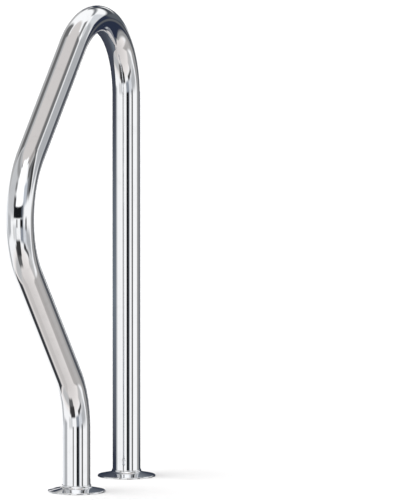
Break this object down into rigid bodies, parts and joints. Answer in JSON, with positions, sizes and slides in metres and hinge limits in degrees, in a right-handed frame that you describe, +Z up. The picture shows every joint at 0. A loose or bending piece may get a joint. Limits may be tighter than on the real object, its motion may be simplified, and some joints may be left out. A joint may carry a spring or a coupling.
{
  "type": "grab rail",
  "caption": "Polished bent-tube grab rail standing on round deck feet, each foot hidden by a loose cover that slides up its leg and turns.",
  "frame": {"origin": "rear leg's axis, in the plane of the deck that the feet stand on", "axes": "+Z up along the legs, +X forward from the rear leg to the front leg and the nose of the rail; the tube bends in the XZ plane"},
  "size_m": [0.5476, 0.1, 0.8335],
  "materials": {
    "polished_tube": "mirror-polished stainless steel tube",
    "polished_cover": "mirror-polished pressed stainless sheet",
    "plate_steel": "turned stainless steel",
    "weld_bead": "brushed stainless weld",
    "gasket_rubber": "matt black rubber sheet",
    "ring_rubber": "smooth black rubber"
  },
  "bodies": {
    "rail": {"rail_tube": "polished_tube", "front_weld": "weld_bead", "rear_weld": "weld_bead", "front_base_plate": "plate_steel", "rear_base_plate": "plate_steel", "front_gasket": "gasket_rubber", "rear_gasket": "gasket_rubber"},
    "front_ring": {"front_cover_ring": "ring_rubber"},
    "front_cover": {"front_cover": "polished_cover"},
    "rear_ring": {"rear_cover_ring": "ring_rubber"},
    "rear_cover": {"rear_cover": "polished_cover"}
  },
  "joints": [
    {"name": "front_cover_slide", "type": "slide", "parent": "rail", "child": "front_ring", "axis": [0, 0, 1], "range_m": [0, 0.09]},
    {"name": "front_cover_turn", "type": "hinge", "parent": "front_ring", "child": "front_cover", "pos_m": [0.225, 0, 0.0075], "axis": [0, 0, 1], "continuous": true},
    {"name": "rear_cover_slide", "type": "slide", "parent": "rail", "child": "rear_ring", "axis": [0, 0, 1], "range_m": [0, 0.645]},
    {"name": "rear_cover_turn", "type": "hinge", "parent": "rear_ring", "child": "rear_cover", "pos_m": [0, 0, 0.0075], "axis": [0, 0, 1], "continuous": true}
  ]
}
